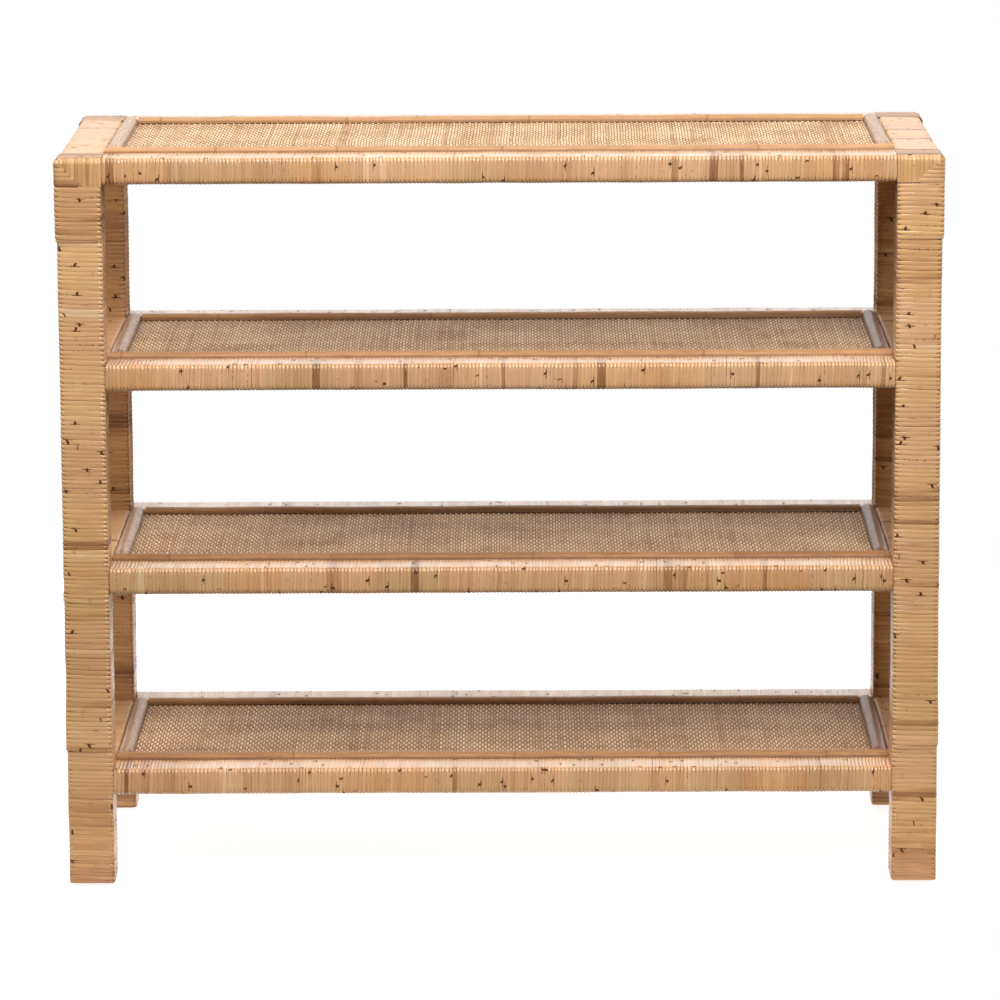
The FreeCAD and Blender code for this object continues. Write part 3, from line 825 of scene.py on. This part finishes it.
def make_mat(tier):
    """Woven cane as one sheet. Where a strand along Y lies over, it is one long arched float across three
    strands; where it lies under, each strand along X shows as a short float. Pits mark the crossings."""
    node = f"cane_mat_{tier}"
    low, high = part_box(node)
    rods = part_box(f"end_rods_{tier}")
    edge_y = rods[0].y - MAT_TUCK - low.y
    edge_x = ROD_WIDTH - MAT_TUCK - (low.x - rods[0].x)
    x0, x1 = low.x + edge_x, high.x - edge_x
    y0, y1 = low.y + edge_y, high.y - edge_y
    nx = round((x1 - x0) / WEAVE_PITCH)
    ny = WEAVE_GROUP * round((y1 - y0) / WEAVE_PITCH / WEAVE_GROUP)
    rng = generator(node)
    top = high.z

    def cuts(start, end, count):
        steps = np.clip(rng.normal(1, 0.07, count), 0.8, 1.2)
        return start + np.concatenate([[0], np.cumsum(steps)]) / steps.sum() * (end - start)

    gx, gy = cuts(x0, x1, nx), cuts(y0, y1, ny)
    drift_x = wander(rng, y0, y1, 0.05)
    drift_y = wander(rng, x0, x1, 0.06)
    grid_x, grid_y = np.meshgrid(gx, gy, indexing="ij")
    rim = np.minimum.reduce([grid_x - x0, x1 - grid_x, grid_y - y0, y1 - grid_y])
    near = fade(rim / 0.01)
    px = grid_x + 0.0010 * drift_x(grid_y) * near
    py = grid_y + 0.0014 * drift_y(grid_x) * near
    sag_a, sag_b = wander(rng, x0, x1, 0.09), wander(rng, y0, y1, 0.07)
    sag = 0.00005 * (sag_a(grid_x) + sag_b(grid_y)) * near - 0.0001
    at_group = np.arange(ny + 1) % WEAVE_GROUP == 0
    deep = rng.uniform(0.85, 1.0, grid_x.shape) * np.where(at_group, 1.0, 0.85) * (WEAVE_DEPTH - 0.0001)
    pits = np.stack([px, py, top + sag - deep], -1)
    pit_id = np.arange((nx + 1) * (ny + 1)).reshape(nx + 1, ny + 1)
    n_pits = pit_id.size
    group_of = np.arange(ny) // WEAVE_GROUP
    lifted = (np.add.outer(np.arange(nx), group_of) % 2 == 0)
    # The strands along X, which show as the lower short floats, get a much darker tone than those along Y:
    # painted shade of their recess.
    weft_shade, warp_shade = rng.normal(0.72, 0.09, nx), rng.normal(0.32, 0.11, ny)

    # Strands along X where they lie over: a short float on each cell.
    i, j = np.nonzero(~lifted)
    around = [(i + a, j + b) for a, b in ((0, 0), (1, 0), (1, 1), (0, 1))]
    corners = [pits[at] for at in around]
    ring = [pit_id[at] for at in around]
    middle = sum(corners) / 4
    crown = top + sag[i, j] - SHORT_SINK + 0.00008 * rng.uniform(-1, 1, len(i))
    short = []
    for corner, lean in zip(corners, rng.normal(0, 0.00004, (4, len(i)))):
        spot = middle + (corner - middle) * np.array((0.80, 0.66, 0))
        spot[:, 2] = np.minimum(crown + lean, top)
        short.append(spot)
    short = np.stack(short, 1)
    short_id = n_pits + np.arange(short.shape[0] * 4).reshape(-1, 4)
    faces = [short_id]
    for k in range(4):
        m = (k + 1) % 4
        faces.append(faces_of(ring[k], ring[m], short_id[:, m], short_id[:, k]))
    short_shade = warp_shade[j] + rng.normal(0, 0.06, len(i))

    # Strands along Y where they lie over: one long arched float on each group of cells.
    i, g = np.nonzero(lifted[:, ::WEAVE_GROUP])
    first_row = g * WEAVE_GROUP
    rows = first_row[:, None] + np.arange(WEAVE_GROUP + 1)
    left, right = pits[i[:, None], rows], pits[i[:, None] + 1, rows]
    along = np.array((0.07, 0.34, 0.66, 0.93))[None, :, None]
    start, end = (left[:, :1] + right[:, :1]) / 2, (left[:, -1:] + right[:, -1:]) / 2
    spine = start + (end - start) * along
    breadth = (right - left).mean(1, keepdims=True) * np.array((0.5, 0.5, 0)) * 0.70
    breadth = breadth * np.array((0.85, 1.0, 1.0, 0.85))[None, :, None]
    crown = top + sag[i, first_row + 1] + 0.00010 * rng.uniform(-1, 1, len(i))
    arch = np.array((FLOAT_ARCH, 0.0, 0.0, FLOAT_ARCH))
    long_left, long_right = spine - breadth, spine + breadth
    for row in (long_left, long_right):
        lean = (1 if row is long_left else -1) * rng.normal(0, 0.00004, len(i))
        row[:, :, 2] = np.minimum(crown[:, None] - arch + lean[:, None], top)
    first_long = n_pits + short.shape[0] * 4
    left_id = first_long + np.arange(len(i) * 8).reshape(-1, 8)[:, :4]
    right_id = left_id + 4
    pit_left, pit_right = pit_id[i[:, None], rows], pit_id[i[:, None] + 1, rows]
    for k in range(WEAVE_GROUP):
        for a, b in ((left_id, right_id), (pit_left, left_id), (right_id, pit_right)):
            faces.append(faces_of(a[:, k], b[:, k], b[:, k + 1], a[:, k + 1]))
    faces.append(faces_of(pit_left[:, 0], pit_right[:, 0], right_id[:, 0], left_id[:, 0]))
    faces.append(faces_of(left_id[:, -1], right_id[:, -1], pit_right[:, -1], pit_left[:, -1]))
    long = np.concatenate([long_left, long_right], 1)
    long_shade = weft_shade[i] + rng.normal(0, 0.06, len(i))

    edge = np.concatenate([pit_id[:, 0], pit_id[-1, 1:], pit_id[-2::-1, -1], pit_id[0, -2:0:-1]])
    n_edge = len(edge)
    edge_points = pits.reshape(-1, 3)[edge]
    first = first_long + len(i) * 8

    def pushed(z):
        """The ring of edge points moved out to the mat's own edge, at a height."""
        moved = np.full(edge_points.shape, z)
        for axis, (a, b) in enumerate(((x0, x1), (y0, y1))):
            stretched = (edge_points[:, axis] - (a + b) / 2) * (high[axis] - low[axis]) / (b - a)
            moved[:, axis] = (low[axis] + high[axis]) / 2 + stretched
        return moved

    points = np.concatenate([pits.reshape(-1, 3), short.reshape(-1, 3), long.reshape(-1, 3),
                             pushed(top - WEAVE_DEPTH), pushed(low.z)])
    i, j = loop_of(n_edge)
    upper, lower = first + i, first + n_edge + i
    hem = np.concatenate([faces_of(edge[j], edge[i], upper, upper[j]),
                          faces_of(upper[j], upper, lower, lower[j])])

    # How deep a point lies (painted darker the deeper it is, as shade), its tone, and whether its strand
    # runs along Y.
    weave = np.zeros((len(points), 3))
    weave[:n_pits, 0], weave[first:, 0] = 1, 0.5
    weave[:, 1] = 0.4
    weave[n_pits:first_long, 1] = np.repeat(short_shade, 4)
    weave[first_long:first, 1] = np.repeat(long_shade, 8)
    weave[first_long:first, 2] = 1
    faces = [(np.concatenate(faces), True), (hem, False), (lower[None, ::-1], False)]
    return make_piece(f"weave_{tier}", points, faces, CANE, [node], [("weave", weave)],
                      lambda ends: (ends < n_pits).all(1))


# ---- split poles

def make_poles(name, node, runs, paint):
    """Half-round poles on the mat. Each run is (axis, start, end, middle, width, foot, height, wave, domed,
    dark_tone_and_shade), where domed poles are rounded off at the far end, and the last darkens the pole:
    partly its own darker colour, partly painted shade."""
    rng = generator(name)
    arc = 13
    points, marks, dark_tones_and_shade, smooth, flat, ends = [], [], [], [], [], []
    count = 0
    for axis, start, end, middle, width, foot, height, wave, domed, dark_tone_and_shade in runs:
        s = np.linspace(start, end, int((end - start) / 0.005) + 1)
        if domed:
            tip = end - width * 0.75 * (1 - np.sin(np.linspace(0, pi / 2, 9)))
            s = np.concatenate([s[s < tip[0] - 0.002], tip])
        n = len(s)
        drift, breadth, crown = (wander(rng, start, end, step) for step in (0.085, 0.05, 0.06))
        joints = np.arange(start + rng.uniform(0.05, 0.15), end, rng.uniform(0.17, 0.24))
        knot = sum((np.exp(-((s - at) / 0.0045) ** 2) for at in joints), np.zeros(n))
        half = width / 2 * (1 - 0.035 * (1 + breadth(s)) + 0.02 * knot)
        rise = height * (1 - 0.04 * (1 + crown(s)) + 0.035 * knot)
        if domed:
            close = np.clip((s - tip[0]) / (tip[-1] - tip[0]), 0, 1)
            round_off = np.sqrt(np.maximum(1 - close ** 2, 0.006))
            half, rise = half * round_off, rise * round_off
            rise = rise * (1 - 0.45 * fade((start + 0.007 - s) / 0.007))
        slack = np.maximum(width / 2 - half, 0)
        line = middle + (wave * drift(s) if wave else np.clip(0.0006 * drift(s), -slack, slack))
        angle = np.linspace(pi, 0, arc)
        across = np.cos(angle)
        shape = np.sin(angle) ** 0.8
        ring = np.empty((n, arc, 3))
        ring[:, :, axis] = s[:, None]
        ring[:, :, 1 - axis] = line[:, None] + half[:, None] * across
        ring[:, :, 2] = foot + np.minimum(rise[:, None] * shape, height)
        mark = np.stack(np.broadcast_arrays(s[:, None] + rng.uniform(0, 30), across[None, :],
                                            rng.uniform(0, 9)), -1)
        base = count + arc * np.arange(n - 1)[:, None]
        k = np.arange(arc - 1)[None, :]
        domes = faces_of(base + k, base + arc + k, base + arc + k + 1, base + k + 1).reshape(-1, 4)
        row = base[:, 0]
        under = faces_of(row + arc - 1, row + 2 * arc - 1, row + arc, row)
        first, last = count + np.arange(arc), count + arc * (n - 1) + np.arange(arc)[::-1]
        if axis == 1:
            domes, under, first, last = domes[:, ::-1], under[:, ::-1], first[::-1], last[::-1]
        smooth.append(domes)
        flat.append(under)
        ends += [first, last]
        points.append(ring.reshape(-1, 3))
        marks.append(mark.reshape(-1, 3))
        dark_tones_and_shade.append(np.full(n * arc, dark_tone_and_shade))
        count += n * arc
    faces = [(np.concatenate(smooth), True), (np.concatenate(flat), False), (np.array(ends), False)]
    return make_piece(name, np.concatenate(points), faces, paint, [node],
                      [("strip", np.concatenate(marks)), ("dark_tone_and_shade", np.concatenate(dark_tones_and_shade))])


def make_trims(tier):
    """The long trims lie along the front and back of a mat, and the rods across its ends."""
    trims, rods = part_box(f"long_trims_{tier}"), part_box(f"end_rods_{tier}")
    width = rods[0].y - trims[0].y
    foot = trims[0].z
    height, rod_height = trims[1].z - foot, rods[1].z - foot
    front, back = trims[0].y + width / 2, trims[1].y - width / 2
    left, right, dark_tone_and_shade = trims[0].x, trims[1].x, TRIM_TONE_AND_SHADE[tier]
    make_poles(f"trims_{tier}", f"long_trims_{tier}",
               [(0, left, right, front, width, foot, height, 0.0, False, dark_tone_and_shade),
                (0, left + ROD_WIDTH, right - ROD_WIDTH, back, width * BACK_TRIM, foot, height, BACK_WAVE,
                 False, dark_tone_and_shade)], POLE)
    # Only the right-hand rods are darkened: painted shade.
    ends = ((rods[0].x + ROD_WIDTH / 2, 0.0), (rods[1].x - ROD_WIDTH / 2, ROD_PAINTED_SHADE[tier]))
    runs = [(1, rods[0].y, rods[1].y, x, ROD_WIDTH, foot, rod_height, 0.0, True, dark_tone_and_shade) for x, dark_tone_and_shade in ends]
    make_poles(f"rods_{tier}", f"end_rods_{tier}", runs, POLE_GREY)


# ---- glides

def make_glides():
    """Domed glides under the posts' middles. The profile is in shares of their radius and height."""
    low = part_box("foot_glides")[0]
    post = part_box("post_core_front_left")
    radius = (post[0].x + post[1].x) / 2 - low.x
    rim = post[0].z
    profile = ((0.45, 0.0), (0.62, 0.03), (0.78, 0.12), (0.90, 0.28), (0.97, 0.50), (1.0, 0.72),
               (1.0, 0.93), (0.96, 1.0))
    steps = 28
    turn = np.arange(steps) * 2 * pi / steps
    points, quads, fans = [], [], []
    count = 0
    i, j = loop_of(steps)
    for side_x in SIDES_X.values():
        for side_y in SIDES_Y.values():
            x, y = -side_x * (low.x + radius), -side_y * (low.y + radius)
            for share, level in profile:
                reach = radius * share
                points.append(np.column_stack([x + reach * np.cos(turn), y + reach * np.sin(turn),
                                               np.full(steps, rim * level)]))
            rows = len(profile)
            for r in range(rows - 1):
                a, b = count + r * steps, count + (r + 1) * steps
                quads.append(faces_of(a + i, a + j, b + j, b + i))
            fans += [count + i[::-1], count + (rows - 1) * steps + i]
            count += rows * steps
    faces = [(np.concatenate(quads), True), (np.array(fans), False)]
    return make_piece("glides", np.concatenate(points), faces, GLIDE, ["foot_glides"])


# ---- assembly

def dress_frame():
    """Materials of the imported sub-parts that stay in view or show through gaps."""
    for name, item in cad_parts.items():
        if item.hide_render:
            continue
        paint = STEEL if name == "trim_brads" else PLYWOOD if name.startswith("shelf_board") else TIMBER
        item.data.materials.clear()
        item.data.materials.append(paint)


def make_rack():
    for tier in TIERS:
        for side in (*SIDES_Y, *SIDES_X):
            make_rail(tier, side)
        make_mat(tier)
        make_trims(tier)
    for side_y in SIDES_Y:
        for side_x in SIDES_X:
            make_post(side_y, side_x)
            make_bed(side_y, side_x)
    make_glides()
    dress_frame()


def make_studio():
    """A pale floor, a wall of light behind the rack that the camera sees as plain white, and five lamps."""
    reach, front, back = 1.3, FLOOR_FRONT, 1.5
    mesh = bpy.data.meshes.new("floor")
    mesh.from_pydata([(-reach, front, 0), (reach, front, 0), (reach, back, 0), (-reach, back, 0)],
                     [], [(0, 1, 2, 3)])
    mesh.materials.append(floor_material())
    floor = bpy.data.objects.new("floor", mesh)
    bpy.context.scene.collection.objects.link(floor)

    world = bpy.data.worlds.new("studio")
    world.use_nodes = True
    sky = Graph(world.node_tree)
    direction = sky.split(sky.add("ShaderNodeTexCoord", (), "Generated"))
    fall = [sky.remap(direction[axis], start, end, how="LINEAR") for axis, start, end in WALL_FADES]
    light, white = (sky.add("ShaderNodeBackground", {0: (1, 1, 1, 1), 1: strength})
                    for strength in (fall[0] * fall[1] * WALL_LEVEL, 1.0))
    seen = sky.add("ShaderNodeLightPath", (), "Is Camera Ray")
    mix = sky.add("ShaderNodeMixShader", {0: seen, 1: light, 2: white})
    sky.feed(sky.tree.nodes["World Output"].inputs[0], mix)
    bpy.context.scene.world = world

    middle = Vector((0, 0, 0.45))
    for name, azimuth, elevation, distance, size, level in LAMPS:
        data = bpy.data.lights.new(name, "AREA")
        data.shape = "DISK"
        data.size = size
        data.energy = level * pi ** 2 * distance ** 2
        lamp = bpy.data.objects.new(name, data)
        a, e = radians(azimuth), radians(elevation)
        lamp.location = middle + distance * Vector((sin(a) * cos(e),
                                                    -cos(a) * cos(e), sin(e)))
        lamp.rotation_mode = "QUATERNION"
        lamp.rotation_quaternion = (middle - lamp.location).to_track_quat("-Z", "Y")
        bpy.context.scene.collection.objects.link(lamp)


def make_camera():
    """A long lens a little above the rack, aimed down at it."""
    pitch, yaw, roll = 0.19623, -0.00634, -0.00533
    forward = Vector((sin(yaw) * cos(pitch), cos(yaw) * cos(pitch), -sin(pitch)))
    level = Vector((cos(yaw), -sin(yaw), 0))
    upward = level.cross(forward)
    right = cos(roll) * level + sin(roll) * upward
    up = -sin(roll) * level + cos(roll) * upward
    data = bpy.data.cameras.new("camera")
    data.sensor_width = 36
    data.lens = 190
    data.clip_end = 100
    camera = bpy.data.objects.new("camera", data)
    camera.matrix_world = Matrix((right, up, -forward)).transposed().to_4x4()
    camera.location = (0.0364, -6.067, 1.6189)
    bpy.context.scene.collection.objects.link(camera)
    bpy.context.scene.camera = camera


make_rack()
make_studio()
make_camera()
bpy.context.scene.view_settings.view_transform = "Standard"
